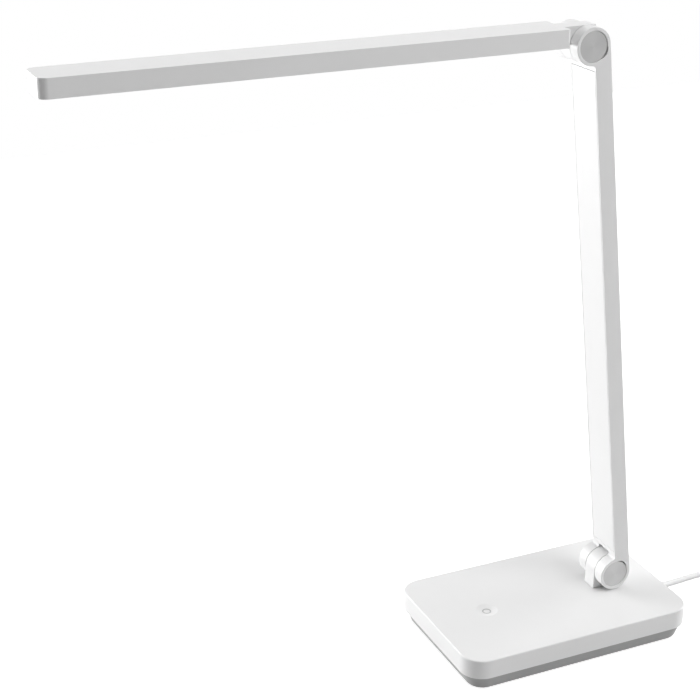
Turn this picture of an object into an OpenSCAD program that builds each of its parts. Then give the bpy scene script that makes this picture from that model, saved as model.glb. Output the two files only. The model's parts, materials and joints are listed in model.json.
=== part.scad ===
// Folding desk lamp with a light bar, a straight arm and a weighted base.
// Millimetres. +Z is up, the origin is the centre of the pad under the base,
// the light bar points along -X and the lead leaves along +X.

/* [Base] */
// Length of the base, front to back
base_len = 166; // [155:0.5:190]
// Width of the base
base_wid = 106; // [98:0.5:130]
// Corner radius of the base seen from above
base_corner_r = 14.5; // [10:0.5:18]
// Height of the white cover
cover_h = 13; // [12.6:0.1:18]
// Thickness of the cover's roof and walls
cover_wall = 2.2; // [2:0.1:3]
// Radius of the cover's top edge
cover_edge_r = 0.8; // [0.4:0.1:1.5]
// Height of the grey tray below the cover
tray_h = 9.6; // [8.4:0.1:12]
// How far the tray's top edge lies inside the cover's side
tray_step = 0.5; // [0.2:0.1:1]
// How much further in the tray lies at its two ends than along its sides
tray_end_in = 1.2; // [0:0.1:1.5]
// How much further in the tray's bottom edge lies than its top edge
tray_taper = 3.3; // [1:0.1:4.5]
// Thickness of the tray's walls
tray_wall = 3; // [2.6:0.1:3.6]
// Thickness of the tray's floor
tray_floor = 2.4; // [2.2:0.1:3]
// Thickness of the non-slip pad
pad_t = 1.4; // [1.1:0.1:2]
// How far the pad stands out below the tray
pad_proud = 0.8; // [0.4:0.1:1]
// Thickness of the steel ballast plate
ballast_t = 4; // [3:0.1:4.5]

/* [Touch key] */
// Distance of the touch key from the base's front end
key_in = 39.9; // [36:0.1:44]
// Diameter of the dished key
key_d = 14.5; // [12:0.1:16]
// Depth of the dish
key_depth = 1.2; // [0.5:0.1:1.3]
// Outer diameter of the ring mark in the dish
mark_d = 6; // [5:0.1:8]
// Width of the ring mark's line
mark_w = 0.8; // [0.5:0.1:1.2]

/* [Hinges] */
// Distance of the lower hinge axis from the base's rear end
hinge_in = 36.1; // [33:0.1:42]
// Height of the lower hinge axis above the base's top
hinge_rise = 12.7; // [12.3:0.1:16]
// Radius of both knuckles
knuckle_r = 11.25; // [10.9:0.05:11.9]
// Width of the middle tongue of each knuckle
tongue_w = 10.8; // [10:0.1:12]
// Thickness of the friction washer on each side of a tongue
washer_t = 0.4; // [0.3:0.05:0.6]
// Radius of the hinge shafts
shaft_r = 3; // [2.6:0.1:3.4]
// Radius of the hinge caps
cap_r = 9.1; // [8.8:0.1:9.6]
// Thickness of the hinge caps
cap_t = 1.4; // [1:0.1:1.6]
// How far the caps lie below the arm's side
cap_sunk = 0.45; // [0.2:0.05:0.6]
// Gap between the lower tongue and the arm's web above it
web_clear_low = 2.4; // [0.8:0.05:2.8]
// Gap between the upper tongue and the arm's web below it
web_clear_high = 0.85; // [0.6:0.05:1.4]

/* [Arm] */
// Distance between the two hinge axes
arm_axes = 360; // [320:1:400]
// Lean of the arm toward the front, in degrees
arm_tilt = 6.67; // [2:0.01:12]
// Width of the arm and of the light bar
arm_w = 27.4; // [26.8:0.1:29]
// How far the arm's front face lies behind the axes
arm_face = 0.45; // [0.3:0.05:0.6]
// Thickness of the arm's side walls
arm_side = 2.6; // [2.3:0.1:3]
// Thickness of the arm's back wall
arm_back = 1.8; // [1.5:0.1:2.2]
// Thickness of the arm's front panel
panel_t = 1.6; // [1.2:0.1:1.8]
// Width of the rim left around a front panel
panel_rim = 1; // [0.8:0.1:1.2]
// Distance from the lower axis to the panel's groove
panel_low = 16.4; // [16:0.1:18]
// Distance from the upper axis to the panel's groove
panel_high = 14.9; // [14.5:0.1:18]
// Width of the groove around a panel
groove = 0.3; // [0.2:0.05:0.4]

/* [Light bar] */
// Distance from the upper axis to the bar's free end
bar_reach = 321.3; // [290:0.1:324]
// Distance from the upper axis to the bar's rear end
bar_rear = 15.9; // [15:0.1:18]
// Height of the bar's top above the upper axis
bar_top = 11.2; // [11:0.05:11.6]
// Height of the bar's light face above the upper axis
bar_face = 0.45; // [0.3:0.05:0.6]
// Corner radius of the bar's free end seen from above
bar_corner_r = 5.5; // [3.5:0.1:8]
// Corner radius of the bar's rear end seen from above
bar_rear_r = 1.4; // [1.2:0.1:2]
// Thickness of the bar's roof
bar_roof = 1.6; // [1.4:0.1:2]
// Thickness of the bar's walls
bar_wall = 2.4; // [2.1:0.1:2.6]
// Thickness of the opal diffuser
diffuser_t = 1.5; // [1.2:0.1:1.8]
// Number of light-emitting diodes along the bar
led_count = 20; // [8:1:26]
// How far the tongue reaches behind the upper axis
tongue_back = 5.8; // [4:0.1:6.4]

/* [Lead] */
// Diameter of the lead
lead_d = 4.2; // [3.6:0.1:4.4]
// Length of the strain relief outside the base
relief_len = 14; // [10:0.5:18]
// Length of the plug's grip
grip_len = 28; // [22:1:34]
// Width of the plug's grip
grip_w = 16; // [14:0.5:18]
// Height of the plug's grip
grip_h = 8; // [7.2:0.1:9]

/* [Hidden] */

// Colours as the photograph shows them
white = [0.93, 0.93, 0.92];
pale_grey = [0.84, 0.84, 0.84];
tray_grey = [0.55, 0.55, 0.55];
cap_grey = [0.72, 0.72, 0.73];
steel = [0.66, 0.67, 0.69];
dark = [0.2, 0.2, 0.21];
board_green = [0.12, 0.36, 0.22];
opal = [0.96, 0.96, 0.94];

// Facets given to round shapes
round_fn = 96;
small_fn = 48;

// Clearances
fit = 0.05;
seat_gap = 0.15;
loose = 0.3;
past = 1;

// Places along the base
hinge_x = base_len / 2 - hinge_in;
key_x = base_len / 2 - key_in;

// Levels of the base above the desk
tray_z = pad_proud;
floor_z = tray_z + tray_floor;
cover_z = tray_z + tray_h;
base_top = cover_z + cover_h;
roof_z = base_top - cover_wall;
ballast_top = floor_z + ballast_t;
axis_z = base_top + hinge_rise;

// Insets of the tray
tray_bottom_in = tray_step + tray_taper;
lip_h = 1.5;
lip_w = 1.1;
lip_in = cover_wall + seat_gap;
tray_chamfer = 0.6;
pad_margin = 4;
pad_corner_r = 8;
pad_recess = pad_t - pad_proud;

// Screws of the base
screw_r = 1.5;
screw_hole_r = screw_r + 0.15;
screw_head_r = 3;
screw_head_h = 1.8;
screw_head_room = 0.2;
drive_r = 1.4;
drive_depth = 1;
boss_r = 4.5;
boss_in_x = 16.5;
boss_in_y = 14.5;
boss_x = base_len / 2 - boss_in_x;
boss_y = base_wid / 2 - boss_in_y;
boss_spots = [for (sx = [-1, 1], sy = [-1, 1]) [sx * boss_x, sy * boss_y]];
screw_z = tray_z + pad_recess;
screw_bite = 7.5;
screw_tip_room = 1;

// Ballast plate
ballast_room = 1.5;
ballast_len = 2 * (boss_x - boss_r - ballast_room);
ballast_wid = 2 * (boss_y - boss_r - ballast_room);
ballast_corner_r = 3;

// Foot of the hinge post
foot_t = 3;
foot_rim = 1.5;
foot_side = 8.4;
post_screw_in = 3;
post_screw_out = 4.8;
foot_half_x = knuckle_r + foot_rim;
foot_half_y = tongue_w / 2 + foot_side;
post_screw_x = knuckle_r - post_screw_in;
post_screw_y = tongue_w / 2 + post_screw_out;
foot_top = ballast_top + foot_t;
wire_x = shaft_r + 4;
wire_r = 1.3;
wire_hole_r = wire_r + loose;
pocket_half = 3.2;
pocket_h = 9;

// Control board
board_t = 1.6;
board_drop = 6;
board_len = 54;
board_half_y = 22;
board_before_key = 20;
board_front = key_x + board_before_key;
board_top = roof_z - board_drop;
board_post_r = 2.6;
board_post_in = 4;
board_screw_r = 1;
board_screw_head_r = 2;
board_screw_head_h = 1.2;
board_spots = [for (x = [board_post_in, board_len - board_post_in], sy = [-1, 1])
               [x - board_front, sy * (board_half_y - board_post_in)]];
socket_len = 6;
socket_h = 4;
socket_half = 4;
socket_in = 11;
socket_y = board_half_y - socket_in;
socket_x = board_len - board_front;
socket_mid_z = board_top - board_t - socket_h / 2;

// Touch key
dish_r = (key_d * key_d / 4 + key_depth * key_depth) / (2 * key_depth);
mark_z = base_top - key_depth + dish_r - sqrt(dish_r * dish_r - mark_d * mark_d / 4);
mark_t = 0.5;
foil_r = 6;
foil_t = 0.3;

// Knuckles, measured along Y from the middle plane
half_w = arm_w / 2;
tongue_half = tongue_w / 2;
cheek_in = tongue_half + washer_t;
wall_in = cheek_in + 2.8;
cap_in = half_w - cap_sunk - cap_t;
seat_in = cap_in;
head_room_r = 7;
cap_ring_out = head_room_r - 0.2;
cap_ring_in = cap_ring_out - 1;
cap_ring_h = 1.2;
cap_seat_r = cap_r + 0.12;
pry_r = 6;
pry_shift = cap_r + 1 - pry_r;
pry_depth = 0.8;
pry_angle_low = 50;
pry_angle_high = 35;
shaft_bore_r = shaft_r + fit;
bolt_head_r = 5.4;
bolt_head_h = 2.4;
bolt_socket_r = 2.4;
bolt_socket_h = 1.4;
thread_r = 2.4;
washer_r = 8;
washer_slack = 0.05;
spring_r = 5.6;
spring_t = 0.4;
spring_dish = 0.25;
spring_flat = 0.4;
spring_stack = 2 * (spring_t + spring_dish);
nut_r = 4.6;
nut_h = 1.6;
corner_blend = 2;

// Arm, measured from the lower axis: X backward, Z along the arm
arm_back_x = knuckle_r;
arm_floor_x = knuckle_r - arm_back;
arm_ledge_x = arm_face + panel_t;
web_low = knuckle_r + web_clear_low;
web_high = knuckle_r + web_clear_high;
ledge_end = 2.6;
cavity_end = panel_low + ledge_end;
cavity_half = half_w - arm_side;
recess_half = half_w - panel_rim;
panel_half = recess_half - groove;
panel_start = panel_low + groove;
panel_end = arm_axes - panel_high - groove;
clip_count = 5;
clip_len = 8;
clip_t = 1.1;
clip_drop = 2.4;
clip_in = 30;
spine_t = 1.5;
spine_half = 8;
spine_end = cavity_end + 5;
spine_hole_r = 2.5;
spine_holes = 7;
spine_hole_in = 20;
arm_wire_x = arm_floor_x - spine_t - wire_r;

// Upper axis in the lamp's own frame
upper_x = hinge_x - arm_axes * sin(arm_tilt);
upper_z = axis_z + arm_axes * cos(arm_tilt);

// Light bar, measured from the upper axis
bar_ceiling = bar_top - bar_roof;
bar_ledge = bar_face + diffuser_t;
tongue_top = bar_top - 0.1;
neck_half = tongue_half + fit;
insert_low = bar_ledge + 1.6;
insert_t = 2;
insert_high = bar_ceiling - 0.1;
insert_half = 9;
insert_shank = 7;
insert_len = 33;
insert_screw_r = 1.25;
insert_head_r = 2.3;
insert_head_h = 1.3;
insert_spots = [for (x = [-bar_rear - insert_shank - 6, -bar_rear - insert_len + 5], s = [-1, 1])
                [x, s * 5.6]];
insert_boss_r = 2.6;
insert_bite = bar_ceiling + 0.8;
led_board_half = 9.5;
led_board_t = 1.2;
led_start = -bar_rear - insert_len - 7;
bar_wire_z = bar_ceiling - led_board_t - wire_r;
bar_wire_end = led_start - 6;
led_end = -bar_reach + bar_wall + 8;
led_size = [3.5, 2.8, 0.7];
led_row_y = 4.8;
led_margin = 12;
liner_t = 0.6;
liner_gap = 0.3;
liner_start = led_start + 4;
liner_end = -bar_reach + bar_corner_r + liner_gap;
liner_top = bar_ceiling - led_board_t - 0.1;

// Strain relief and lead
relief_rise = 4.3;
relief_z = floor_z + relief_rise;
relief_reach = 20;
relief_hole_r = 3.4;
relief_neck_r = relief_hole_r - 0.1;
relief_root_r = 3.9;
relief_tip_r = lead_d / 2 + 0.6;
relief_flange_r = 4.1;
relief_flange_t = 1.5;
relief_out_x = base_len / 2;
relief_seat_in = 0.8;
relief_seat_x = base_len / 2 - tray_step - tray_end_in - tray_wall - relief_seat_in;
relief_end_x = relief_out_x + relief_len;
lead_r = lead_d / 2;
lead_sides = 10;

// Tie around the coil
tie_t = 0.6;
tie_w = 6;
tie_gap = 0.5;
tie_skip = 0.75;

// Coil of the lead: it winds in on the lower layer and out again on the upper one
coil_r = 6 * lead_d;
coil_turns = 8.5;
coil_pitch = lead_d + 0.5;
coil_steps = 24;
coil_sides = 6;
coil_flat = lead_r * sin(60);
coil_low = coil_flat + tie_t;
coil_after = 61;
coil_start_x = relief_end_x + coil_after;
coil_x = coil_start_x + lead_d;
coil_out_r = coil_r + coil_pitch * coil_turns / 4;
coil_y = -coil_out_r;
coil_high = coil_low + coil_pitch;
coil_count = coil_turns * coil_steps;

// Route of the lead from the strain relief to the coil, as distance past the relief and rise
cord_points = [[0, 0], [5, 0], [13, 0.4], [22, 0.9], [30, 1.1], [38, 0.2], [46, -2.2]];
cord_route = concat([for (q = cord_points) [relief_end_x + q[0], 0, relief_z + q[1]]],
                    [[coil_start_x - 6, 0, coil_low], [coil_start_x, 0, coil_low]]);

// Route of the lead from the coil to the plug, as distance past the coil and height
tail_y = coil_y - coil_out_r;
tail_mid_z = (coil_high + grip_h / 2) / 2;
tail_points = [[0, coil_high], [5, coil_high], [11, tail_mid_z], [17, grip_h / 2], [22, grip_h / 2]];
tail_route = [for (q = tail_points) [coil_start_x - q[0], tail_y, q[1]]];

// Plug
grip_end = tail_route[len(tail_route) - 1][0];
grip_corner_r = 3;
plug_shell_len = 18.8;
plug_shell_w = 12;
plug_shell_h = 4.5;
plug_sheet = 0.3;
plug_insert_h = 1.9;
plug_hole = 2.2;
plug_hole_y = 2.6;

// Leads inside the base, by hand-chosen points between their two ends
inner_lead_r = 1.4;
inner_sides = 8;
inlet_start = relief_seat_x - relief_flange_t;
inlet_route = [[inlet_start, 0, relief_z], [inlet_start - 3.5, 0, relief_z], [inlet_start - 6, 5, 8.4],
               [inlet_start - 10, 13, 10], [inlet_start - 17, 21, socket_mid_z],
               [hinge_x - 1.4, 24, socket_mid_z], [hinge_x - 19, 20, socket_mid_z],
               [socket_x + 20, socket_y + 3, socket_mid_z], [socket_x + 8, socket_y, socket_mid_z],
               [socket_x, socket_y, socket_mid_z]];
post_route = [[socket_x, -socket_y, socket_mid_z], [socket_x + 8, -socket_y, socket_mid_z],
              [socket_x + 20, -socket_y - 3, socket_mid_z], [hinge_x - 19, -20, socket_mid_z],
              [hinge_x - 4, -20, 12.6], [hinge_x + 4.6, -15, 13.4],
              [hinge_x + wire_x, -9, 14], [hinge_x + wire_x, -4, 14.6],
              [hinge_x + wire_x, -1.2, 16.4], [hinge_x + wire_x, -0.2, 19],
              [hinge_x + wire_x, 0, 22], [hinge_x + wire_x, 0, axis_z]];

// Shared shapes

// Places its child in the arm's frame, whose origin is on the lower axis
module in_arm() {
    translate([hinge_x, 0, axis_z]) rotate([0, -arm_tilt, 0]) children();
}

// Places its child in the arm's frame at the upper axis
module at_arm_top() {
    in_arm() translate([0, 0, arm_axes]) children();
}

// Places its child in the light bar's frame, whose origin is on the upper axis
module in_bar() {
    translate([upper_x, 0, upper_z]) children();
}

// A cylinder along Y from y0 to y1
module y_cylinder(r, y0, y1, fn = round_fn) {
    translate([0, y0, 0]) rotate([-90, 0, 0]) cylinder(r = r, h = y1 - y0, $fn = fn);
}

// A tube along Y from y0 to y1
module y_ring(r_out, r_in, y0, y1, fn = round_fn) {
    difference() {
        y_cylinder(r_out, y0, y1, fn);
        y_cylinder(r_in, y0 - past, y1 + past, fn);
    }
}

// Its child on both sides of the middle plane
module both_sides() {
    children();
    mirror([0, 1, 0]) children();
}

// A rectangle with round corners, about its centre
module round_rect(l, w, r) {
    union() {
        square([l - 2 * r, w], center = true);
        square([l, w - 2 * r], center = true);
        for (sx = [-1, 1], sy = [-1, 1])
            translate([sx * (l / 2 - r), sy * (w / 2 - r)]) circle(r = r, $fn = small_fn);
    }
}

// A round-cornered block whose side is the child profile, drawn from the corner's centre outward
module profiled_block(l, w, r, h) {
    union() {
        translate([-(l / 2 - r), -(w / 2 - r), 0]) cube([l - 2 * r, w - 2 * r, h]);
        for (sx = [0, 1], sy = [0, 1]) mirror([sx, 0, 0]) mirror([0, sy, 0])
            translate([l / 2 - r, w / 2 - r, 0]) rotate_extrude(angle = 90, $fn = round_fn) children();
        for (sx = [0, 1]) mirror([sx, 0, 0])
            translate([l / 2 - r, w / 2 - r, 0]) rotate([90, 0, 0])
                linear_extrude(w - 2 * r) children();
        for (sy = [0, 1]) mirror([0, sy, 0])
            translate([-(l / 2 - r), w / 2 - r, 0]) rotate([90, 0, 90])
                linear_extrude(l - 2 * r) children();
    }
}

// The light bar's outline seen from above, drawn in by the given distance
module bar_outline(inset = 0) {
    front = -bar_reach + inset;
    rear = -bar_rear - inset;
    half = half_w - inset;
    rf = max(bar_corner_r - inset, 0.6);
    rr = max(bar_rear_r - inset, 0.3);
    union() {
        translate([front + rf, -half]) square([rear - rr - front - rf, 2 * half]);
        translate([front, -half + rf]) square([rf, 2 * (half - rf)]);
        translate([rear - rr, -half + rr]) square([rr, 2 * (half - rr)]);
        for (s = [-1, 1]) {
            translate([front + rf, s * (half - rf)]) circle(r = rf, $fn = small_fn);
            translate([rear - rr, s * (half - rr)]) circle(r = rr, $fn = small_fn);
        }
    }
}

// A round tube that follows a list of points
function unit(v) = v / norm(v);
function heading(p, i) = unit(p[min(i + 1, len(p) - 1)] - p[max(i - 1, 0)]);
function side_of(t) = abs(t[2]) > 0.999 ? [-1, 0, 0] : unit(cross([0, 0, 1], t));
function tube_ring(p, i, r, n) =
    let (t = heading(p, i), s = side_of(t), u = cross(t, s))
    [for (k = [0 : n - 1]) p[i] + r * (cos(360 * k / n) * s + sin(360 * k / n) * u)];

module swept_tube(p, r, n) {
    last = len(p) - 1;
    points = [for (i = [0 : last]) each tube_ring(p, i, r, n)];
    walls = [for (i = [0 : last - 1], k = [0 : n - 1])
             let (a = i * n + k, b = i * n + (k + 1) % n)
             each [[a, a + n, b + n], [a, b + n, b]]];
    near_end = [for (k = [1 : n - 2]) [0, k, k + 1]];
    far_end = [for (k = [1 : n - 2]) [last * n, last * n + k + 1, last * n + k]];
    polyhedron(points = points, faces = concat(walls, near_end, far_end), convexity = 8);
}

// A pan-head screw that points up, with its head's outer face at z = 0
module screw(shank_r, length, head_r, head_h) {
    difference() {
        union() {
            cylinder(r = head_r, h = head_h, $fn = small_fn);
            cylinder(r = shank_r, h = length, $fn = small_fn);
        }
        translate([0, 0, -past]) cylinder(r = head_r * 0.46, h = past + head_h * 0.55, $fn = 6);
    }
}

// Base

// Side of the cover from the corner's centre outward
module cover_profile() {
    e = cover_edge_r;
    union() {
        square([base_corner_r - e, cover_h]);
        square([base_corner_r, cover_h - e]);
        translate([base_corner_r - e, cover_h - e]) circle(r = e, $fn = small_fn);
    }
}

// Side of the tray from the corner's centre outward
module tray_profile() {
    top_run = base_corner_r - tray_step;
    foot_run = base_corner_r - tray_bottom_in;
    polygon([[0, 0], [foot_run - tray_chamfer, 0], [foot_run, tray_chamfer], [top_run, tray_h], [0, tray_h]]);
}

// Hollow of the tray from the corner's centre outward, from the floor to past the top
module tray_hollow_profile() {
    top_run = base_corner_r - tray_step - tray_wall;
    slope = tray_taper / tray_h;
    floor_run = top_run - slope * (tray_h - tray_floor);
    polygon([[0, 0], [floor_run, 0], [top_run, tray_h - tray_floor], [top_run, tray_h - tray_floor + past],
             [0, tray_h - tray_floor + past]]);
}

module relief_hole() {
    translate([relief_seat_x - 5, 0, relief_z]) rotate([0, 90, 0])
        cylinder(r = relief_hole_r, h = relief_reach, $fn = small_fn);
    translate([relief_seat_x - 5, 0, relief_z]) rotate([0, 90, 0])
        cylinder(r = relief_flange_r + seat_gap, h = 5, $fn = small_fn);
}

module base_cover() {
    inner_r = base_corner_r - cover_wall;
    color(white) difference() {
        union() {
            difference() {
                translate([0, 0, cover_z])
                    profiled_block(base_len, base_wid, base_corner_r, cover_h) cover_profile();
                translate([0, 0, cover_z - past])
                    linear_extrude(cover_h - cover_wall + past)
                        round_rect(base_len - 2 * cover_wall, base_wid - 2 * cover_wall, inner_r);
            }
            for (p = boss_spots)
                translate([p[0], p[1], cover_z]) cylinder(r = boss_r, h = roof_z - cover_z, $fn = small_fn);
            for (p = board_spots)
                translate([p[0], p[1], board_top])
                    cylinder(r = board_post_r, h = board_drop, $fn = small_fn);
        }
        for (p = boss_spots)
            translate([p[0], p[1], cover_z - past])
                cylinder(r = screw_r + fit, h = screw_bite + past + screw_tip_room, $fn = small_fn);
        for (p = board_spots)
            translate([p[0], p[1], board_top - past])
                cylinder(r = board_screw_r + fit, h = past + 4.4, $fn = small_fn);
        translate([hinge_x - knuckle_r - seat_gap, -tongue_half - seat_gap, roof_z - past])
            cube([2 * (knuckle_r + seat_gap), tongue_w + 2 * seat_gap, cover_wall + 2 * past]);
        translate([-key_x, 0, base_top - key_depth + dish_r]) sphere(r = dish_r, $fn = 128);
        translate([-key_x, 0, mark_z - mark_t]) difference() {
            cylinder(r = mark_d / 2 + fit, h = mark_t + past, $fn = small_fn);
            translate([0, 0, -past])
                cylinder(r = mark_d / 2 - mark_w - fit, h = mark_t + 3 * past, $fn = small_fn);
        }
        relief_hole();
    }
}

module base_tray() {
    tray_len = base_len - 2 * tray_end_in;
    hollow_h = tray_h - tray_floor + past;
    lip_l = base_len - 2 * lip_in;
    lip_b = base_wid - 2 * lip_in;
    lip_r = base_corner_r - lip_in;
    color(tray_grey) difference() {
        union() {
            difference() {
                translate([0, 0, tray_z])
                    profiled_block(tray_len, base_wid, base_corner_r, tray_h) tray_profile();
                translate([0, 0, floor_z])
                    profiled_block(tray_len, base_wid, base_corner_r, hollow_h) tray_hollow_profile();
            }
            translate([0, 0, cover_z - past]) linear_extrude(lip_h + past) difference() {
                round_rect(lip_l, lip_b, lip_r);
                round_rect(lip_l - 2 * lip_w, lip_b - 2 * lip_w, lip_r - lip_w);
            }
            for (p = boss_spots)
                translate([p[0], p[1], floor_z]) cylinder(r = boss_r, h = cover_z - floor_z, $fn = small_fn);
        }
        for (p = boss_spots) translate([p[0], p[1], tray_z - past]) {
            cylinder(r = screw_hole_r, h = tray_h + 3 * past, $fn = small_fn);
            cylinder(r = screw_head_r + screw_head_room, h = past + screw_z - tray_z + screw_head_h,
                     $fn = small_fn);
        }
        translate([0, 0, tray_z - past]) linear_extrude(past + pad_recess)
            round_rect(pad_len() + 2 * seat_gap, pad_wid() + 2 * seat_gap, pad_corner_r + seat_gap);
        relief_hole();
    }
}

function pad_len() = base_len - 2 * (tray_end_in + tray_bottom_in + pad_margin);
function pad_wid() = base_wid - 2 * (tray_bottom_in + pad_margin);

module base_pad() {
    color(dark) linear_extrude(pad_t) round_rect(pad_len(), pad_wid(), pad_corner_r);
}

module base_screws() {
    color(steel) for (p = boss_spots)
        translate([p[0], p[1], screw_z])
            screw(screw_r, cover_z - screw_z + screw_bite, screw_head_r, screw_head_h);
}

module ballast_plate() {
    color(steel) difference() {
        translate([0, 0, floor_z]) linear_extrude(ballast_t)
            round_rect(ballast_len, ballast_wid, ballast_corner_r);
        for (sx = [-1, 1], sy = [-1, 1])
            translate([hinge_x + sx * post_screw_x, sy * post_screw_y, floor_z - past])
                cylinder(r = screw_r + fit, h = ballast_t + 2 * past, $fn = small_fn);
    }
}

module hinge_post() {
    wire_bend_z = foot_top + past;
    color(white) difference() {
        union() {
            translate([hinge_x, 0, axis_z]) rotate([90, 0, 0])
                linear_extrude(tongue_w, center = true) union() {
                    circle(r = knuckle_r, $fn = round_fn);
                    translate([-knuckle_r, ballast_top - axis_z])
                        square([2 * knuckle_r, axis_z - ballast_top]);
                }
            translate([hinge_x - foot_half_x, -foot_half_y, ballast_top])
                cube([2 * foot_half_x, 2 * foot_half_y, foot_t]);
        }
        translate([hinge_x, 0, axis_z])
            y_cylinder(shaft_bore_r, -tongue_half - past, tongue_half + past, small_fn);
        for (sx = [-1, 1], sy = [-1, 1])
            translate([hinge_x + sx * post_screw_x, sy * post_screw_y, ballast_top - past])
                cylinder(r = screw_hole_r, h = foot_t + 2 * past, $fn = small_fn);
        translate([hinge_x + wire_x - pocket_half, -tongue_half - past, wire_bend_z])
            cube([2 * pocket_half, tongue_half + past + pocket_half - 1, pocket_h]);
        translate([hinge_x + wire_x, 0, wire_bend_z + pocket_h - past])
            cylinder(r = wire_hole_r, h = axis_z, $fn = small_fn);
    }
}

module post_screws() {
    color(steel) for (sx = [-1, 1], sy = [-1, 1])
        translate([hinge_x + sx * post_screw_x, sy * post_screw_y, foot_top + screw_head_h])
            mirror([0, 0, 1])
                screw(screw_r, screw_head_h + foot_t + ballast_t - 0.4, screw_head_r - 0.3, screw_head_h);
}

module control_board() {
    color(board_green) difference() {
        union() {
            translate([-board_front, -board_half_y, board_top - board_t])
                cube([board_len, 2 * board_half_y, board_t]);
            for (s = [-1, 1])
                translate([socket_x - socket_len, s * socket_y - socket_half, board_top - board_t - socket_h])
                    cube([socket_len, 2 * socket_half, socket_h + board_t / 2]);
            for (k = [0 : 2])
                translate([-board_front + 12 + 11 * k, -7 + 5 * (k % 2), board_top - board_t - 1.6])
                    cube([6, 6, 1.6 + board_t / 2]);
            translate([-board_front + 14, 12, board_top - board_t - 3.4])
                cylinder(r = 3, h = 3.4 + board_t / 2, $fn = small_fn);
        }
        for (p = board_spots)
            translate([p[0], p[1], board_top - board_t - past])
                cylinder(r = board_screw_r + 0.15, h = board_t + 2 * past, $fn = small_fn);
    }
}

module board_screws() {
    color(steel) for (p = board_spots)
        translate([p[0], p[1], board_top - board_t - board_screw_head_h])
            screw(board_screw_r, board_screw_head_h + board_t + 4, board_screw_head_r, board_screw_head_h);
}

module touch_pad() {
    color("peru") union() {
        translate([-key_x, 0, roof_z - foil_t]) cylinder(r = foil_r, h = foil_t, $fn = small_fn);
        translate([-key_x, 0, board_top]) cylinder(r = 1.5, h = board_drop - foil_t / 2, $fn = small_fn);
    }
}

module touch_ring() {
    color(cap_grey) translate([-key_x, 0, mark_z - mark_t]) difference() {
        cylinder(r = mark_d / 2, h = mark_t, $fn = small_fn);
        translate([0, 0, -past]) cylinder(r = mark_d / 2 - mark_w, h = mark_t + 2 * past, $fn = small_fn);
    }
}

module strain_relief() {
    color(white) translate([0, 0, relief_z]) rotate([0, 90, 0]) union() {
        translate([0, 0, relief_seat_x - relief_flange_t])
            cylinder(r = relief_flange_r, h = relief_flange_t, $fn = small_fn);
        translate([0, 0, relief_seat_x - relief_flange_t / 2])
            cylinder(r = relief_neck_r, h = relief_out_x - relief_seat_x + relief_flange_t, $fn = small_fn);
        translate([0, 0, relief_out_x])
            cylinder(r1 = relief_root_r, r2 = relief_tip_r, h = relief_len, $fn = small_fn);
    }
}

module inlet_lead() {
    color(dark) swept_tube(inlet_route, inner_lead_r, inner_sides);
}

module post_lead() {
    color(dark) swept_tube(post_route, wire_r, inner_sides);
}

// Knuckle hardware, about an axis at the origin

module shaft() {
    difference() {
        union() {
            y_cylinder(shaft_r, -wall_in, wall_in, small_fn);
            y_cylinder(bolt_head_r, -wall_in - bolt_head_h, -wall_in, small_fn);
            y_cylinder(thread_r, wall_in - past, wall_in + spring_stack + nut_h + 0.1, small_fn);
        }
        y_cylinder(bolt_socket_r, -wall_in - bolt_head_h - past, -wall_in - bolt_head_h + bolt_socket_h, 6);
    }
}

module friction_washers() {
    both_sides() y_ring(washer_r, shaft_bore_r, tongue_half + washer_slack, cheek_in);
}

module disc_springs() {
    hole = thread_r + 2 * fit;
    shape = [[hole, 0], [hole + spring_flat, 0], [spring_r - spring_flat, spring_dish],
             [spring_r, spring_dish], [spring_r, spring_dish + spring_t],
             [spring_r - spring_flat, spring_dish + spring_t], [hole + spring_flat, spring_t],
             [hole, spring_t]];
    translate([0, wall_in, 0]) rotate([-90, 0, 0]) rotate_extrude($fn = small_fn) polygon(shape);
    translate([0, wall_in + spring_stack, 0]) rotate([90, 0, 0])
        rotate_extrude($fn = small_fn) polygon(shape);
}

module lock_nut() {
    start = wall_in + spring_stack;
    difference() {
        y_cylinder(nut_r, start, start + nut_h, 6);
        y_cylinder(thread_r + fit, start - past, start + nut_h + past, small_fn);
    }
}

module hinge_cap() {
    union() {
        y_cylinder(cap_r, cap_in, cap_in + cap_t);
        y_ring(cap_ring_out, cap_ring_in, cap_in - cap_ring_h, cap_in + cap_t / 2, small_fn);
    }
}

// Arm

// Side view of the arm from axis to axis, with a small blend under each knuckle's front
module arm_side_view() {
    blend_x = arm_face - corner_blend;
    blend_z = sqrt(pow(knuckle_r + corner_blend, 2) - blend_x * blend_x);
    touch_x = blend_x * knuckle_r / (knuckle_r + corner_blend);
    union() {
        circle(r = knuckle_r, $fn = round_fn);
        translate([0, arm_axes]) circle(r = knuckle_r, $fn = round_fn);
        translate([arm_face, 0]) square([arm_back_x - arm_face, arm_axes]);
        for (top = [0, 1]) translate([0, top * arm_axes]) mirror([0, top]) difference() {
            translate([touch_x, knuckle_r - 1])
                square([arm_face - touch_x + 0.5, blend_z - knuckle_r + 1]);
            translate([blend_x, blend_z]) circle(r = corner_blend, $fn = small_fn);
        }
    }
}

// What is cut from the arm's end at one axis, for the knuckle at the origin and the arm going up
module knuckle_cuts(web, pry_angle) {
    far = knuckle_r + 3 * past;
    translate([-far, -cheek_in, -far]) cube([2 * far, 2 * cheek_in, far + web]);
    y_cylinder(shaft_bore_r, -half_w, half_w, small_fn);
    both_sides() {
        y_cylinder(head_room_r, wall_in, half_w + past, small_fn);
        y_cylinder(cap_seat_r, seat_in, half_w + past);
        rotate([0, -pry_angle, 0]) translate([pry_shift, 0, 0])
            y_cylinder(pry_r, seat_in - pry_depth, half_w + past);
    }
}

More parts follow.
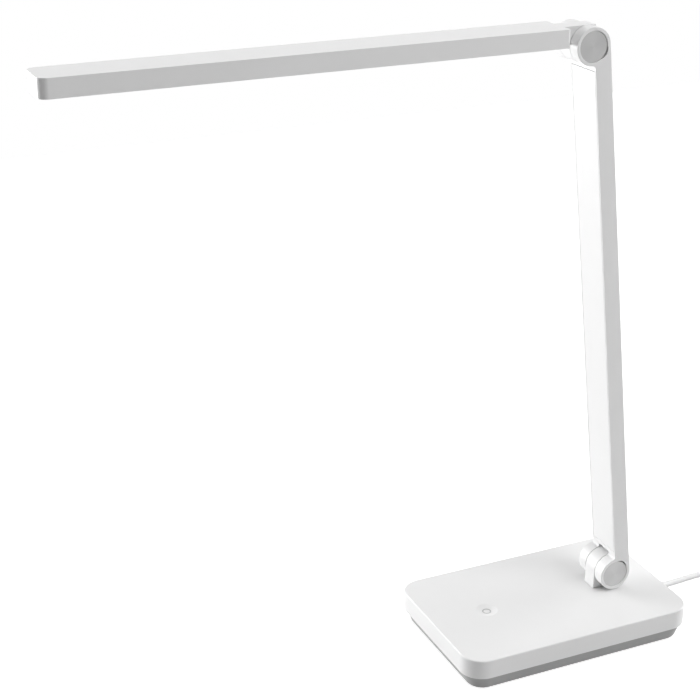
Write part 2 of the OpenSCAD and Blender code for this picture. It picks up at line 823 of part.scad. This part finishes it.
module arm_shell() {
    color(white) in_arm() difference() {
        rotate([90, 0, 0]) linear_extrude(arm_w, center = true) arm_side_view();
        knuckle_cuts(web_low, pry_angle_low);
        translate([0, 0, arm_axes]) mirror([0, 0, 1]) knuckle_cuts(web_high, pry_angle_high);
        translate([arm_face - past, -recess_half, panel_low])
            cube([panel_t + past, 2 * recess_half, arm_axes - panel_low - panel_high]);
        translate([arm_face + past / 2, -cavity_half, cavity_end])
            cube([arm_floor_x - arm_face - past / 2, 2 * cavity_half, arm_axes - 2 * cavity_end]);
        translate([arm_wire_x, 0, web_low - past])
            cylinder(r = wire_hole_r, h = arm_axes - web_low - web_high + 2 * past, $fn = small_fn);
    }
}

module arm_cover() {
    clip_pitch = (panel_end - panel_start - 2 * clip_in) / (clip_count - 1);
    color(white) in_arm() union() {
        translate([arm_face, -panel_half, panel_start])
            cube([panel_t, 2 * panel_half, panel_end - panel_start]);
        for (k = [0 : clip_count - 1], s = [-1, 1])
            translate([arm_ledge_x - panel_t / 2, s * (cavity_half - seat_gap - clip_t / 2) - clip_t / 2,
                       panel_start + clip_in + k * clip_pitch - clip_len / 2])
                cube([clip_drop + panel_t / 2, clip_t, clip_len]);
    }
}

module arm_spine() {
    hole_pitch = (arm_axes - 2 * (spine_end + spine_hole_in)) / (spine_holes - 1);
    color(steel) in_arm() difference() {
        translate([arm_floor_x - spine_t, -spine_half, spine_end])
            cube([spine_t, 2 * spine_half, arm_axes - 2 * spine_end]);
        for (k = [0 : spine_holes - 1])
            translate([arm_floor_x - spine_t - past, 0, spine_end + spine_hole_in + k * hole_pitch])
                rotate([0, 90, 0]) cylinder(r = spine_hole_r, h = spine_t + 2 * past, $fn = small_fn);
    }
}

module arm_lead() {
    start = web_low + loose;
    color(dark) in_arm() translate([arm_wire_x, 0, start])
        cylinder(r = wire_r, h = arm_axes - web_high - loose - start, $fn = small_fn);
}

module lower_shaft() { color(steel) in_arm() shaft(); }
module lower_washers() { color(dark) in_arm() friction_washers(); }
module lower_springs() { color(steel) in_arm() disc_springs(); }
module lower_nut() { color(steel) in_arm() lock_nut(); }
module lower_cap_left() { color(cap_grey) in_arm() mirror([0, 1, 0]) hinge_cap(); }
module lower_cap_right() { color(cap_grey) in_arm() hinge_cap(); }
module upper_shaft() { color(steel) at_arm_top() shaft(); }
module upper_washers() { color(dark) at_arm_top() friction_washers(); }
module upper_springs() { color(steel) at_arm_top() disc_springs(); }
module upper_nut() { color(steel) at_arm_top() lock_nut(); }
module upper_cap_left() { color(cap_grey) at_arm_top() mirror([0, 1, 0]) hinge_cap(); }
module upper_cap_right() { color(cap_grey) at_arm_top() hinge_cap(); }

// Light bar

module bar_shell() {
    color(white) in_bar() difference() {
        union() {
            difference() {
                translate([0, 0, bar_face]) linear_extrude(bar_top - bar_face) bar_outline();
                translate([0, 0, bar_face - past]) linear_extrude(bar_ledge - bar_face + past)
                    bar_outline(panel_rim);
                translate([0, 0, bar_ledge - past / 2]) linear_extrude(bar_ceiling - bar_ledge + past / 2)
                    bar_outline(bar_wall);
            }
            for (p = insert_spots) translate([p[0], p[1], insert_low + insert_t])
                cylinder(r = insert_boss_r, h = bar_ceiling - insert_low - insert_t + 0.2, $fn = small_fn);
        }
        translate([-bar_rear - bar_wall - past, -neck_half - seat_gap, bar_ledge])
            cube([bar_wall + 2 * past, 2 * (neck_half + seat_gap), bar_ceiling - bar_ledge]);
        for (p = insert_spots) translate([p[0], p[1], insert_low])
            cylinder(r = insert_screw_r + fit, h = insert_bite - insert_low, $fn = small_fn);
    }
}

module bar_tongue() {
    color(white) in_bar() difference() {
        union() {
            rotate([90, 0, 0]) linear_extrude(tongue_w, center = true) union() {
                circle(r = knuckle_r, $fn = round_fn);
                translate([-bar_rear, bar_face]) square([bar_rear + tongue_back, tongue_top - bar_face]);
            }
            translate([-bar_rear - insert_shank, -tongue_half, insert_low])
                cube([insert_shank + past, tongue_w, insert_high - insert_low]);
            translate([-bar_rear - insert_len, -insert_half, insert_low])
                cube([insert_len - bar_wall - past, 2 * insert_half, insert_t]);
        }
        y_cylinder(shaft_bore_r, -tongue_half - past, tongue_half + past, small_fn);
        for (p = insert_spots) translate([p[0], p[1], insert_low - past])
            cylinder(r = insert_screw_r + 0.15, h = insert_t + 2 * past, $fn = small_fn);
        translate([-bar_rear - insert_shank - past, 0, bar_wire_z]) rotate([0, 90, 0])
            cylinder(r = wire_hole_r, h = bar_rear + insert_shank + 3 * tongue_back, $fn = small_fn);
    }
}

module bar_screws() {
    color(steel) in_bar() for (p = insert_spots) translate([p[0], p[1], insert_low - insert_head_h])
        screw(insert_screw_r, insert_bite - insert_low + insert_head_h - 0.3, insert_head_r, insert_head_h);
}

module diffuser() {
    color(opal) in_bar() translate([0, 0, bar_face])
        linear_extrude(diffuser_t) bar_outline(panel_rim + seat_gap);
}

module reflector() {
    half = half_w - bar_wall - liner_gap;
    run = liner_start - liner_end;
    rise = liner_top - bar_ledge;
    color("white") in_bar() translate([liner_end, -half, bar_ledge]) difference() {
        cube([run, 2 * half, rise]);
        translate([liner_t, liner_t, -past])
            cube([run - 2 * liner_t, 2 * (half - liner_t), rise + 2 * past]);
        translate([run - liner_t - past, half - wire_hole_r, bar_wire_z - wire_hole_r - bar_ledge])
            cube([liner_t + 2 * past, 2 * wire_hole_r, rise]);
    }
}

module led_board() {
    color(pale_grey) in_bar() translate([led_end, -led_board_half, bar_ceiling - led_board_t])
        cube([led_start - led_end, 2 * led_board_half, led_board_t]);
}

module leds() {
    pitch = (led_start - led_end - 2 * led_margin) / (led_count - 1);
    color("gold") in_bar() for (k = [0 : led_count - 1], s = [-1, 1])
        translate([led_end + led_margin + k * pitch - led_size[0] / 2, s * led_row_y - led_size[1] / 2,
                   bar_ceiling - led_board_t - led_size[2]])
            cube(led_size);
}

module bar_lead() {
    start = bar_wire_end;
    color(dark) in_bar() translate([start, 0, bar_wire_z]) rotate([0, 90, 0])
        cylinder(r = wire_r, h = tongue_back - 0.6 - start, $fn = small_fn);
}

// Lead and plug

module power_cord() {
    color(white) swept_tube(cord_route, lead_r, lead_sides);
}

// Centre of the coil's tube after k steps from where the winding begins
function coil_angle(k) = 90 - 360 * k / coil_steps;
function coil_radius(k) = coil_out_r - coil_pitch / coil_steps * min(k, coil_count - k);
function coil_climb(k) = min(1, max(0, 0.5 + (k - coil_count / 2) / (coil_steps / 2)));
function coil_height(k) = coil_low + coil_pitch * (3 * pow(coil_climb(k), 2) - 2 * pow(coil_climb(k), 3));
function coil_point(k) = [coil_x + coil_radius(k) * cos(coil_angle(k)),
                          coil_y + coil_radius(k) * sin(coil_angle(k)), coil_height(k)];
coil_path = concat([[coil_x - lead_d, 0, coil_low]], [for (k = [0 : coil_count]) coil_point(k)],
                   [[coil_x - lead_d, tail_y, coil_high]]);
coil_gap = min([for (i = [1 : len(coil_path) - 2], j = [i + coil_steps / 2 : len(coil_path) - 2])
                norm(coil_path[i] - coil_path[j])]) - lead_d;
echo(least_gap_of_the_coil = coil_gap);

module cord_coil() {
    color(white) swept_tube(coil_path, lead_r, coil_sides);
}

module cord_tie() {
    turns = coil_turns / 2 - tie_skip;
    outer = coil_out_r - tie_skip * coil_pitch + lead_r + tie_gap;
    inner = coil_out_r - floor(turns) * coil_pitch - tie_skip * coil_pitch - lead_r - tie_gap;
    height = coil_high + coil_flat;
    low = coil_low - coil_flat;
    color(dark) translate([coil_x - outer - tie_t, coil_y - tie_w / 2, low - tie_t]) difference() {
        cube([outer - inner + 2 * tie_t, tie_w, height - low + 2 * tie_t]);
        translate([tie_t, -past, tie_t]) cube([outer - inner, tie_w + 2 * past, height - low]);
    }
}

module cord_tail() {
    color(white) swept_tube(tail_route, lead_r, lead_sides);
}

module plug_grip() {
    color(white) translate([grip_end - grip_len / 2, tail_y, 0])
        linear_extrude(grip_h) round_rect(grip_len, grip_w, grip_corner_r);
}

module plug_shell() {
    color(steel) translate([grip_end - grip_len - plug_shell_len, tail_y, grip_h / 2]) difference() {
        translate([0, -plug_shell_w / 2, -plug_shell_h / 2])
            cube([plug_shell_len, plug_shell_w, plug_shell_h]);
        translate([-past, -plug_shell_w / 2 + plug_sheet, -plug_shell_h / 2 + plug_sheet])
            cube([plug_shell_len + 2 * past, plug_shell_w - 2 * plug_sheet, plug_shell_h - 2 * plug_sheet]);
        for (s = [-1, 1])
            translate([plug_shell_len * 0.35, s * plug_hole_y - plug_hole / 2, -plug_shell_h])
                cube([plug_hole, plug_hole, 2 * plug_shell_h]);
    }
}

module plug_insert() {
    inside_w = plug_shell_w - 2 * plug_sheet - 0.2;
    color(dark) translate([grip_end - grip_len - plug_shell_len + 0.8, tail_y - inside_w / 2,
                           grip_h / 2 + plug_shell_h / 2 - plug_sheet - plug_insert_h - 0.1])
        cube([plug_shell_len - 0.8, inside_w, plug_insert_h]);
}

base_cover();
base_tray();
base_pad();
base_screws();
ballast_plate();
hinge_post();
post_screws();
control_board();
board_screws();
touch_pad();
touch_ring();
strain_relief();
inlet_lead();
post_lead();
arm_shell();
arm_cover();
arm_spine();
arm_lead();
lower_shaft();
lower_washers();
lower_springs();
lower_nut();
lower_cap_left();
lower_cap_right();
upper_shaft();
upper_washers();
upper_springs();
upper_nut();
upper_cap_left();
upper_cap_right();
bar_shell();
bar_tongue();
bar_screws();
diffuser();
reflector();
led_board();
leds();
bar_lead();
power_cord();
cord_coil();
cord_tie();
cord_tail();
plug_grip();
plug_shell();
plug_insert();
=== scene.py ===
import json
import math

import bpy
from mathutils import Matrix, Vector

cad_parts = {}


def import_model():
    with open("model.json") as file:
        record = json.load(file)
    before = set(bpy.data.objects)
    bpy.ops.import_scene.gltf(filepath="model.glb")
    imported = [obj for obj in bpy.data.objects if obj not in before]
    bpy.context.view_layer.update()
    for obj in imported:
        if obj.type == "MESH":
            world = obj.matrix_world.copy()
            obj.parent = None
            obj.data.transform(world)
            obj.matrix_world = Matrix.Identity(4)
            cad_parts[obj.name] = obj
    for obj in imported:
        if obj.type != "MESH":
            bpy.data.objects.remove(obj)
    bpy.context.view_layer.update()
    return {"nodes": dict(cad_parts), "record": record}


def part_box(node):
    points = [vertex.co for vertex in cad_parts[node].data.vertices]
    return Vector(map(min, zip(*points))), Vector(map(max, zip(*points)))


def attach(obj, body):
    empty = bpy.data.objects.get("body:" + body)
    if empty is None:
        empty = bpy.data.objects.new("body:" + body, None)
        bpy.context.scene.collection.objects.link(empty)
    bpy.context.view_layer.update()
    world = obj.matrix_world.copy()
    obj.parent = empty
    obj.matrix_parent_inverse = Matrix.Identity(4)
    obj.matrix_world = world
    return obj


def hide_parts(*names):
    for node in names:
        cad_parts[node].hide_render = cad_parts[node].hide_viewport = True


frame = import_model()
scene = bpy.context.scene
nodes = frame["nodes"]

MM = 0.001


def mm(*values):
    return Vector(v * MM for v in values)


# Camera, from the photograph's vanishing points

AZIMUTH = math.radians(-24.17)
ELEVATION = math.radians(22.63)
CAMERA_PLACE = mm(-485.9, -766.7, 576.1)
LENS = 80.04
SENSOR = 36


def camera():
    back = Vector((math.sin(AZIMUTH) * math.cos(ELEVATION),
                   -math.cos(AZIMUTH) * math.cos(ELEVATION), math.sin(ELEVATION)))
    data = bpy.data.cameras.new("camera")
    data.lens = LENS
    data.sensor_width = SENSOR
    data.clip_start = 0.05
    data.clip_end = 50
    cam = bpy.data.objects.new("camera", data)
    cam.location = CAMERA_PLACE
    cam.rotation_euler = (-back).to_track_quat("-Z", "Y").to_euler()
    scene.collection.objects.link(cam)
    scene.camera = cam


camera()


# Materials

def colour(value):
    """A grey or an RGB colour given as the linear values the shader takes."""
    if isinstance(value, (int, float)):
        value = (value, value, value)
    return (*value, 1.0)


def new_material(name):
    mat = bpy.data.materials.new(name)
    mat.use_nodes = True
    tree = mat.node_tree
    bsdf = tree.nodes["Principled BSDF"]
    place = tree.nodes.new("ShaderNodeTexCoord")
    return mat, tree, bsdf, place


def noise(tree, place, scale, detail=4, rough=0.6, stretch=None):
    """Noise over the piece's own coordinates, drawn out by stretch where it is given."""
    tex = tree.nodes.new("ShaderNodeTexNoise")
    tex.inputs["Scale"].default_value = scale
    tex.inputs["Detail"].default_value = detail
    tex.inputs["Roughness"].default_value = rough
    if stretch:
        mapping = tree.nodes.new("ShaderNodeMapping")
        mapping.inputs["Scale"].default_value = stretch
        tree.links.new(place.outputs["Object"], mapping.inputs["Vector"])
        tree.links.new(mapping.outputs["Vector"], tex.inputs["Vector"])
    else:
        tree.links.new(place.outputs["Object"], tex.inputs["Vector"])
    return tex


# The span of values that a noise texture mostly keeps to
NOISE_LOW = 0.3
NOISE_HIGH = 0.7


def vary(tree, source, low, high, target):
    """Sends the noise to a shader socket as a value from low to high."""
    span = tree.nodes.new("ShaderNodeMapRange")
    span.inputs["From Min"].default_value = NOISE_LOW
    span.inputs["From Max"].default_value = NOISE_HIGH
    span.inputs["To Min"].default_value = low
    span.inputs["To Max"].default_value = high
    tree.links.new(source, span.inputs["Value"])
    tree.links.new(span.outputs["Result"], target)


def tint(tree, source, dark, light, target):
    """Mixes two colours by the source."""
    mix = tree.nodes.new("ShaderNodeMix")
    mix.data_type = "RGBA"
    mix.inputs[6].default_value = colour(dark)
    mix.inputs[7].default_value = colour(light)
    tree.links.new(source, mix.inputs[0])
    tree.links.new(mix.outputs[2], target)


def bump(tree, source, bsdf, depth, strength):
    node = tree.nodes.new("ShaderNodeBump")
    node.inputs["Strength"].default_value = strength
    node.inputs["Distance"].default_value = depth
    tree.links.new(source, node.inputs["Height"])
    tree.links.new(node.outputs["Normal"], bsdf.inputs["Normal"])


def moulded(name, dark, light, rough=(0.38, 0.5), grain=1400, depth=0.00003, specular=0.5):
    """Moulded plastic or rubber: a fine even grain, slight mottling and uneven gloss."""
    mat, tree, bsdf, place = new_material(name)
    mottle = noise(tree, place, 22, 3, 0.55)
    fine = noise(tree, place, grain, 3, 0.7)
    tint(tree, mottle.outputs["Fac"], dark, light, bsdf.inputs["Base Color"])
    vary(tree, noise(tree, place, 60, 4).outputs["Fac"], rough[0], rough[1], bsdf.inputs["Roughness"])
    bump(tree, fine.outputs["Fac"], bsdf, depth, 0.35)
    bsdf.inputs["Specular IOR Level"].default_value = specular
    return mat


def metal(name, dark, light, rough=(0.25, 0.4), stretch=(1, 1, 1), grain=900, depth=0.00002):
    """Metal with a grain that can be drawn out along one direction."""
    mat, tree, bsdf, place = new_material(name)
    lines = noise(tree, place, grain, 5, 0.65, stretch)
    tint(tree, lines.outputs["Fac"], dark, light, bsdf.inputs["Base Color"])
    vary(tree, lines.outputs["Fac"], rough[0], rough[1], bsdf.inputs["Roughness"])
    bump(tree, lines.outputs["Fac"], bsdf, depth, 0.4)
    bsdf.inputs["Metallic"].default_value = 1.0
    return mat


def lit_board(name, base, pads):
    """A circuit board: solder mask with a grid of tracks showing through."""
    mat, tree, bsdf, place = new_material(name)
    brick = tree.nodes.new("ShaderNodeTexBrick")
    brick.inputs["Scale"].default_value = 260
    brick.inputs["Mortar Size"].default_value = 0.03
    brick.inputs["Color1"].default_value = colour(base)
    brick.inputs["Color2"].default_value = colour([c * 0.8 for c in base])
    brick.inputs["Mortar"].default_value = colour(pads)
    tree.links.new(place.outputs["Object"], brick.inputs["Vector"])
    tree.links.new(brick.outputs["Color"], bsdf.inputs["Base Color"])
    vary(tree, noise(tree, place, 90).outputs["Fac"], 0.25, 0.4, bsdf.inputs["Roughness"])
    return mat


# How much of a cap's tone comes from the painted sheen sectors; the rest is the cap's painted
# highlight, which is lighter on the lower pair
PAINTED_SHEEN_SHARE = 0.2


def spun_metal_painted_sheen(name, dark, light):
    """Aluminium faced on a lathe: a painted sheen of bright sectors that turn with the angle, a
    painted highlight that lightens the lower caps, and fine rings.
    """
    mat, tree, bsdf, place = new_material(name)
    attribute = tree.nodes.new("ShaderNodeAttribute")
    attribute.attribute_name = "disc"
    split = tree.nodes.new("ShaderNodeSeparateXYZ")
    tree.links.new(attribute.outputs["Vector"], split.inputs["Vector"])
    turn = tree.nodes.new("ShaderNodeMath")
    turn.operation = "ARCTAN2"
    tree.links.new(split.outputs["X"], turn.inputs[0])
    tree.links.new(split.outputs["Z"], turn.inputs[1])
    twice = tree.nodes.new("ShaderNodeMath")
    twice.operation = "MULTIPLY"
    twice.inputs[1].default_value = 2.0
    tree.links.new(turn.outputs["Value"], twice.inputs[0])
    shifted = tree.nodes.new("ShaderNodeMath")
    shifted.operation = "ADD"
    shifted.inputs[1].default_value = 2.3
    tree.links.new(twice.outputs["Value"], shifted.inputs[0])
    # painted sheen: bright and dark sectors by angle, put into the cap's colour
    painted_sheen_sectors = tree.nodes.new("ShaderNodeMath")
    painted_sheen_sectors.operation = "SINE"
    tree.links.new(shifted.outputs["Value"], painted_sheen_sectors.inputs[0])
    span = tree.nodes.new("ShaderNodeMapRange")
    span.inputs["From Min"].default_value = -1.0
    span.inputs["From Max"].default_value = 1.0
    span.inputs["To Max"].default_value = PAINTED_SHEEN_SHARE
    tree.links.new(painted_sheen_sectors.outputs["Value"], span.inputs["Value"])
    # painted highlight: a per-cap value that lightens the colour, 1 on the lower caps
    painted_highlight = tree.nodes.new("ShaderNodeAttribute")
    painted_highlight.attribute_name = "painted_highlight"
    share = tree.nodes.new("ShaderNodeMath")
    share.operation = "MULTIPLY_ADD"
    share.inputs[1].default_value = 1 - PAINTED_SHEEN_SHARE
    tree.links.new(painted_highlight.outputs["Fac"], share.inputs[0])
    tree.links.new(span.outputs["Result"], share.inputs[2])
    tint(tree, share.outputs["Value"], dark, light, bsdf.inputs["Base Color"])
    length = tree.nodes.new("ShaderNodeVectorMath")
    length.operation = "LENGTH"
    tree.links.new(attribute.outputs["Vector"], length.inputs[0])
    rings = tree.nodes.new("ShaderNodeTexNoise")
    rings.noise_dimensions = "1D"
    rings.inputs["Scale"].default_value = 9000
    tree.links.new(length.outputs["Value"], rings.inputs["W"])
    bump(tree, rings.outputs["Fac"], bsdf, 0.000006, 0.5)
    vary(tree, rings.outputs["Fac"], 0.42, 0.55, bsdf.inputs["Roughness"])
    bsdf.inputs["Metallic"].default_value = 0.2
    return mat


def opal(name):
    mat, tree, bsdf, place = new_material(name)
    tint(tree, noise(tree, place, 40).outputs["Fac"], 0.84, 0.88, bsdf.inputs["Base Color"])
    vary(tree, noise(tree, place, 300, 4).outputs["Fac"], 0.3, 0.42, bsdf.inputs["Roughness"])
    bump(tree, noise(tree, place, 2200, 2).outputs["Fac"], bsdf, 0.00002, 0.3)
    bsdf.inputs["Subsurface Weight"].default_value = 0.3
    bsdf.inputs["Subsurface Radius"].default_value = (0.004, 0.004, 0.0038)
    return mat


materials = {
    "cover_white": moulded("cover_white", 0.80, 0.83),
    "tray_grey": moulded("tray_grey", 0.36, 0.385, rough=(0.5, 0.62)),
    "pad_rubber": moulded("pad_rubber", 0.018, 0.026, rough=(0.75, 0.9), grain=900, depth=0.0001,
                          specular=0.3),
    "screw_steel": metal("screw_steel", 0.42, 0.56),
    "ballast_steel": metal("ballast_steel", 0.24, 0.34, stretch=(1, 12, 12), grain=160),
    "board_green": lit_board("board_green", (0.012, 0.09, 0.03), (0.03, 0.2, 0.07)),
    "foil_copper": metal("foil_copper", (0.62, 0.28, 0.14), (0.78, 0.42, 0.24)),
    "ring_grey": moulded("ring_grey", 0.47, 0.53, rough=(0.3, 0.4)),
    "lead_dark": moulded("lead_dark", 0.012, 0.02, rough=(0.4, 0.55)),
    "washer_dark": moulded("washer_dark", 0.02, 0.03, rough=(0.5, 0.65)),
    "cap_metal": spun_metal_painted_sheen("cap_metal", 0.46, 0.64),
    "diffuser_opal": opal("diffuser_opal"),
    "reflector_white": moulded("reflector_white", 0.82, 0.86, rough=(0.25, 0.35)),
    "board_white": lit_board("board_white", (0.72, 0.72, 0.7), (0.5, 0.5, 0.5)),
    "led_yellow": moulded("led_yellow", (0.85, 0.6, 0.12), (0.92, 0.7, 0.2), rough=(0.2, 0.3)),
    "cord_white": moulded("cord_white", 0.86, 0.89, rough=(0.4, 0.5)),
    "grip_white": moulded("grip_white", 0.78, 0.81, rough=(0.45, 0.6)),
    "plug_steel": metal("plug_steel", 0.62, 0.72, rough=(0.15, 0.25)),
    "plug_dark": moulded("plug_dark", 0.01, 0.016, rough=(0.4, 0.5)),
}

for part in frame["record"]["subparts"]:
    node = nodes[part["node"]]
    node.data.materials.clear()
    node.data.materials.append(materials[part["material_slot"]])


# Crisp edges: the CAD pieces keep their shape and get a small round on every edge

WELD_MM = 0.01
EDGE_SEGMENTS = 2
EDGE_ANGLE = 35


def soften(name, width):
    """Rounds the edges of a CAD node by the width in millimetres."""
    node = nodes[name]
    weld = node.modifiers.new("weld", "WELD")
    weld.merge_threshold = WELD_MM * MM
    edge = node.modifiers.new("edge", "BEVEL")
    edge.width = width * MM
    edge.segments = EDGE_SEGMENTS
    edge.limit_method = "ANGLE"
    edge.angle_limit = math.radians(EDGE_ANGLE)
    edge.harden_normals = True
    normals = node.modifiers.new("normals", "WEIGHTED_NORMAL")
    normals.keep_sharp = False


# Millimetres of round on each of these nodes
SOFTENED = {"arm_shell": 0.45, "bar_shell": 0.3, "hinge_post": 0.3, "bar_tongue": 0.3,
            "base_tray": 0.4, "lower_cap_left": 0.2, "lower_cap_right": 0.2,
            "upper_cap_left": 0.2, "upper_cap_right": 0.2, "plug_grip": 0.8, "diffuser": 0.2}


# Lead: one smooth round cord on the CAD route, in millimetres

LEAD_D = 4.2
LEAD_R = LEAD_D / 2
RELIEF_END = 97
RELIEF_Z = 7.5
TIE_T = 0.6
COIL_R = 6 * LEAD_D
COIL_TURNS = 8.5
COIL_PITCH = LEAD_D + 0.5
COIL_LOW = LEAD_R * math.sin(math.radians(60)) + TIE_T
COIL_START = RELIEF_END + 61
COIL_X = COIL_START + LEAD_D
COIL_OUT = COIL_R + COIL_PITCH * COIL_TURNS / 4
COIL_HIGH = COIL_LOW + COIL_PITCH
GRIP_MID = 4.0
TAIL_Y = -2 * COIL_OUT


LOOP_STEPS = 24


def lead_route():
    """The lead's middle line: the free stretch, the coil in two layers and the end at the plug."""
    steps = LOOP_STEPS
    out = [(RELIEF_END + d, 0, RELIEF_Z + rise) for d, rise in
           ((0, 0), (5, 0), (13, 0.4), (22, 0.9), (30, 1.1), (38, 0.2), (46, -2.2))]
    out += [(COIL_START - 6, 0, COIL_LOW), (COIL_START, 0, COIL_LOW)]
    count = int(COIL_TURNS * steps)
    for k in range(count + 1):
        angle = math.radians(90 - 360 * k / steps)
        radius = COIL_OUT - COIL_PITCH / steps * min(k, count - k)
        climb = min(1, max(0, 0.5 + (k - count / 2) / (steps / 2)))
        z = COIL_LOW + COIL_PITCH * (3 * climb ** 2 - 2 * climb ** 3)
        out.append((COIL_X + radius * math.cos(angle), -COIL_OUT + radius * math.sin(angle), z))
    mid = (COIL_HIGH + GRIP_MID) / 2
    out += [(COIL_START - d, TAIL_Y, z) for d, z in
            ((0, COIL_HIGH), (5, COIL_HIGH), (11, mid), (17, GRIP_MID), (22, GRIP_MID))]
    return out


LEAD_SMOOTHNESS = 6


def lead():
    points = lead_route()
    curve = bpy.data.curves.new("lead", "CURVE")
    curve.dimensions = "3D"
    curve.bevel_depth = LEAD_R * MM
    curve.bevel_resolution = LEAD_SMOOTHNESS
    curve.resolution_u = LEAD_SMOOTHNESS
    curve.use_fill_caps = True
    spline = curve.splines.new("BEZIER")
    spline.bezier_points.add(len(points) - 1)
    for i, p in enumerate(points):
        here = mm(*p)
        before = mm(*points[max(i - 1, 0)])
        after = mm(*points[min(i + 1, len(points) - 1)])
        way = (after - before).normalized()
        bezier = spline.bezier_points[i]
        bezier.handle_left_type = bezier.handle_right_type = "FREE"
        bezier.co = here
        bezier.handle_left = here - way * (here - before).length / 3
        bezier.handle_right = here + way * (after - here).length / 3
    cord = bpy.data.objects.new("lead", curve)
    cord.data.materials.append(materials["cord_white"])
    scene.collection.objects.link(cord)
    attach(cord, "base")
    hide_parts("power_cord", "cord_coil", "cord_tail")


lead()


# Caps: the spun rings and the painted sheen sectors turn about each cap's own middle, and the lower
# pair gets a lighter painted highlight in its colour

# Painted highlight per cap: the lower pair is painted lighter than the upper pair
CAP_PAINTED_HIGHLIGHT = {"lower_cap_left": 1.0, "lower_cap_right": 1.0,
             "upper_cap_left": 0.0, "upper_cap_right": 0.0}


def mark_discs():
    for name, value in CAP_PAINTED_HIGHLIGHT.items():
        low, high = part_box(name)
        middle = (Vector(low) + Vector(high)) / 2
        mesh = nodes[name].data
        disc = mesh.attributes.new("disc", "FLOAT_VECTOR", "POINT")
        for i, v in enumerate(mesh.vertices):
            disc.data[i].vector = v.co - middle
        # painted highlight value stored on each cap
        painted_highlight = mesh.attributes.new("painted_highlight", "FLOAT", "POINT")
        for item in painted_highlight.data:
            item.value = value


mark_discs()

for piece, width in SOFTENED.items():
    soften(piece, width)


# Light and floor

LIGHT_AIM = Vector((0, 0, 0.2))

# Name, azimuth from +X toward +Y, elevation, strength, distance and size of each soft box
LIGHTS = (("key", 135, 1, 1.64, 2.0, 1.3),
          ("side", 0, 5, 0.70, 2.0, 1.3),
          ("fill", 325, 5, 0.11, 2.0, 1.3),
          ("front", 300, 45, 0.49, 2.0, 1.3),
          ("back", 90, 60, 0.09, 2.0, 1.3),
          ("top", 0, 90, 0.40, 5.0, 3.0))


def soft_box(name, azimuth, elevation, strength, distance, size):
    """A square light that lights a face turned to it by its strength, whatever its distance."""
    turn, rise = math.radians(azimuth), math.radians(elevation)
    way = Vector((math.cos(turn) * math.cos(rise), math.sin(turn) * math.cos(rise), math.sin(rise)))
    data = bpy.data.lights.new(name, "AREA")
    data.shape = "SQUARE"
    data.size = size
    data.energy = strength * (math.pi * distance) ** 2
    lamp = bpy.data.objects.new(name, data)
    lamp.location = LIGHT_AIM + distance * way
    lamp.rotation_euler = (-way).to_track_quat("-Z", "Y").to_euler()
    lamp.visible_camera = False
    scene.collection.objects.link(lamp)


def seen_rays(tree):
    """1 for the rays that show the background: seen straight, in a reflection or through glass."""
    path = tree.nodes.new("ShaderNodeLightPath")
    value = path.outputs["Is Camera Ray"]
    for kind in ("Is Glossy Ray", "Is Transmission Ray"):
        either = tree.nodes.new("ShaderNodeMath")
        either.operation = "MAXIMUM"
        tree.links.new(value, either.inputs[0])
        tree.links.new(path.outputs[kind], either.inputs[1])
        value = either.outputs["Value"]
    return value


SKY_STRENGTH = 0.03


def world():
    """A dim sky that looks white where it is seen."""
    sky = bpy.data.worlds.new("studio")
    sky.use_nodes = True
    tree = sky.node_tree
    tree.nodes["Background"].inputs["Color"].default_value = colour(1.0)
    tree.nodes["Background"].inputs["Strength"].default_value = SKY_STRENGTH
    seen = tree.nodes.new("ShaderNodeBackground")
    seen.inputs["Color"].default_value = colour(1.0)
    seen.inputs["Strength"].default_value = 1.0
    mix = tree.nodes.new("ShaderNodeMixShader")
    tree.links.new(seen_rays(tree), mix.inputs["Fac"])
    tree.links.new(tree.nodes["Background"].outputs["Background"], mix.inputs[1])
    tree.links.new(seen.outputs["Background"], mix.inputs[2])
    tree.links.new(mix.outputs["Shader"], tree.nodes["World Output"].inputs["Surface"])
    scene.world = sky


# Added to the lit floor where it is seen: white, but for a faint shadow under the base
FLOOR_GLOW = 0.7
FLOOR_HALF = 1.3
FLOOR_DROP = 0.0001
FLOOR_GREY = 0.55


def floor():
    corners = [(x * FLOOR_HALF, y * FLOOR_HALF, 0) for x, y in ((-1, -1), (1, -1), (1, 1), (-1, 1))]
    mesh = bpy.data.meshes.new("floor")
    mesh.from_pydata(corners, [], [(0, 1, 2, 3)])
    ground = bpy.data.objects.new("floor", mesh)
    ground.location.z = -FLOOR_DROP
    mat, tree, bsdf, _ = new_material("floor_white")
    bsdf.inputs["Base Color"].default_value = colour(FLOOR_GREY)
    bsdf.inputs["Roughness"].default_value = 0.9
    bsdf.inputs["Specular IOR Level"].default_value = 0.0
    bsdf.inputs["Emission Color"].default_value = colour(1.0)
    bsdf.inputs["Emission Strength"].default_value = 0.1
    glow = tree.nodes.new("ShaderNodeEmission")
    glow.inputs["Color"].default_value = colour(1.0)
    glow.inputs["Strength"].default_value = FLOOR_GLOW
    white = tree.nodes.new("ShaderNodeAddShader")
    tree.links.new(bsdf.outputs["BSDF"], white.inputs[0])
    tree.links.new(glow.outputs["Emission"], white.inputs[1])
    mix = tree.nodes.new("ShaderNodeMixShader")
    tree.links.new(seen_rays(tree), mix.inputs["Fac"])
    tree.links.new(bsdf.outputs["BSDF"], mix.inputs[1])
    tree.links.new(white.outputs["Shader"], mix.inputs[2])
    tree.links.new(mix.outputs["Shader"], tree.nodes["Material Output"].inputs["Surface"])
    ground.data.materials.append(mat)
    scene.collection.objects.link(ground)


world()
floor()
for light in LIGHTS:
    soft_box(*light)
scene.view_settings.view_transform = "Standard"
